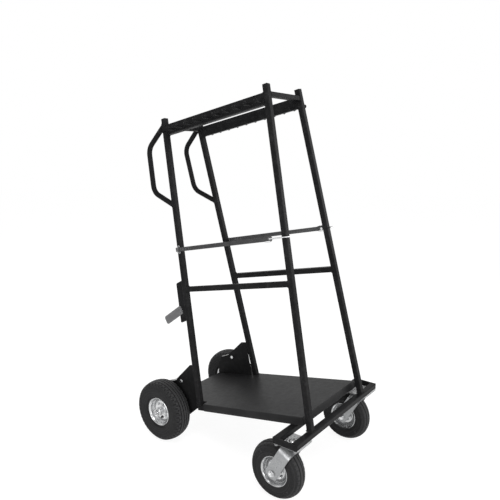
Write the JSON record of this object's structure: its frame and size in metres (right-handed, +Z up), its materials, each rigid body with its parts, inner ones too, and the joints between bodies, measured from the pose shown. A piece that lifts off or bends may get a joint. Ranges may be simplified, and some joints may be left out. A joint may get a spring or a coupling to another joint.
{
  "type": "light stand storage cart",
  "caption": "Upright cart for storing light stands, with a sloping deck, leaning posts, peg rails, retaining straps, push handles, large rear wheels and swivel casters.",
  "frame": {"origin": "middle of the bounding box on the floor", "axes": "+Z up, +X towards the swivel casters, +Y towards the far side, handles towards -X"},
  "size_m": [0.9186, 0.626, 1.466],
  "materials": {
    "frame_paint": "satin black powder coat",
    "deck_paint": "matte black powder coat",
    "zinc": "bright zinc plating",
    "rim": "silver paint on pressed steel",
    "tyre": "moulded black rubber",
    "strap": "matte dark grey rubber",
    "axle_steel": "drawn steel bar",
    "tab_paint": "mid grey paint"
  },
  "bodies": {
    "frame": {"axle_nut_far": "zinc", "axle_nut_near": "zinc", "axle_plate_bolt_far": "zinc", "axle_plate_bolt_near": "zinc", "axle_plate_far": "frame_paint", "axle_plate_near": "frame_paint", "axle_tube": "frame_paint", "caster_frame_bar_front": "frame_paint", "caster_frame_bar_rear": "frame_paint", "caster_frame_end_far": "frame_paint", "caster_frame_end_near": "frame_paint", "caster_plate_far": "zinc", "caster_plate_near": "zinc", "deck_board": "deck_paint", "deck_cross_rail_front": "frame_paint", "deck_cross_rail_middle": "frame_paint", "deck_cross_rail_rear": "frame_paint", "deck_side_rail_far": "frame_paint", "deck_side_rail_near": "frame_paint", "kingpin_far": "zinc", "kingpin_near": "zinc", "low_rail_far": "frame_paint", "low_rail_near": "frame_paint", "peg_comb_far": "frame_paint", "peg_comb_near": "frame_paint", "post_front_far": "frame_paint", "post_front_near": "frame_paint", "post_rear_far": "frame_paint", "post_rear_near": "frame_paint", "push_handle_far": "frame_paint", "push_handle_near": "frame_paint", "rear_axle": "axle_steel", "strap_staple_far": "zinc", "strap_staple_near": "zinc", "tie_plate": "frame_paint", "tie_tab": "tab_paint", "top_crossbar_front": "frame_paint", "top_crossbar_rear": "frame_paint", "top_rail_far": "frame_paint", "top_rail_near": "frame_paint"},
    "caster_swivel_near": {"caster_fork_near": "zinc", "caster_axle_near": "zinc"},
    "caster_wheel_near": {"caster_tyre_near": "tyre", "caster_rim_near": "rim"},
    "rear_wheel_near": {"rear_tyre_near": "tyre", "rear_rim_near": "rim"},
    "strap_body_near": {"strap_near": "strap", "strap_hook_near": "zinc"},
    "caster_swivel_far": {"caster_fork_far": "zinc", "caster_axle_far": "zinc"},
    "caster_wheel_far": {"caster_tyre_far": "tyre", "caster_rim_far": "rim"},
    "rear_wheel_far": {"rear_tyre_far": "tyre", "rear_rim_far": "rim"},
    "strap_body_far": {"strap_far": "strap", "strap_hook_far": "zinc"}
  },
  "joints": [
    {"name": "caster_swivel_near_turn", "type": "hinge", "parent": "frame", "child": "caster_swivel_near", "pos_m": [0.40334, -0.2605, 0.2262], "axis": [0, 0, 1], "continuous": true},
    {"name": "caster_wheel_near_spin", "type": "hinge", "parent": "caster_swivel_near", "child": "caster_wheel_near", "pos_m": [0.34434, -0.2605, 0.108], "axis": [0, 1, 0], "continuous": true},
    {"name": "rear_wheel_near_spin", "type": "hinge", "parent": "frame", "child": "rear_wheel_near", "pos_m": [-0.27746, -0.227, 0.1295], "axis": [0, 1, 0], "continuous": true},
    {"name": "strap_near_swing", "type": "hinge", "parent": "frame", "child": "strap_body_near", "pos_m": [-0.23738, -0.16415, 0.82538], "axis": [-0.2208, 0.0736, 0.9725], "range_deg": [-110, 0]},
    {"name": "caster_swivel_far_turn", "type": "hinge", "parent": "frame", "child": "caster_swivel_far", "pos_m": [0.40334, 0.2605, 0.2262], "axis": [0, 0, 1], "continuous": true},
    {"name": "caster_wheel_far_spin", "type": "hinge", "parent": "caster_swivel_far", "child": "caster_wheel_far", "pos_m": [0.34434, 0.2605, 0.108], "axis": [0, 1, 0], "continuous": true},
    {"name": "rear_wheel_far_spin", "type": "hinge", "parent": "frame", "child": "rear_wheel_far", "pos_m": [-0.27746, 0.227, 0.1295], "axis": [0, 1, 0], "continuous": true},
    {"name": "strap_far_swing", "type": "hinge", "parent": "frame", "child": "strap_body_far", "pos_m": [-0.23738, 0.16415, 0.82538], "axis": [-0.2208, -0.0736, 0.9725], "range_deg": [0, 110]}
  ]
}
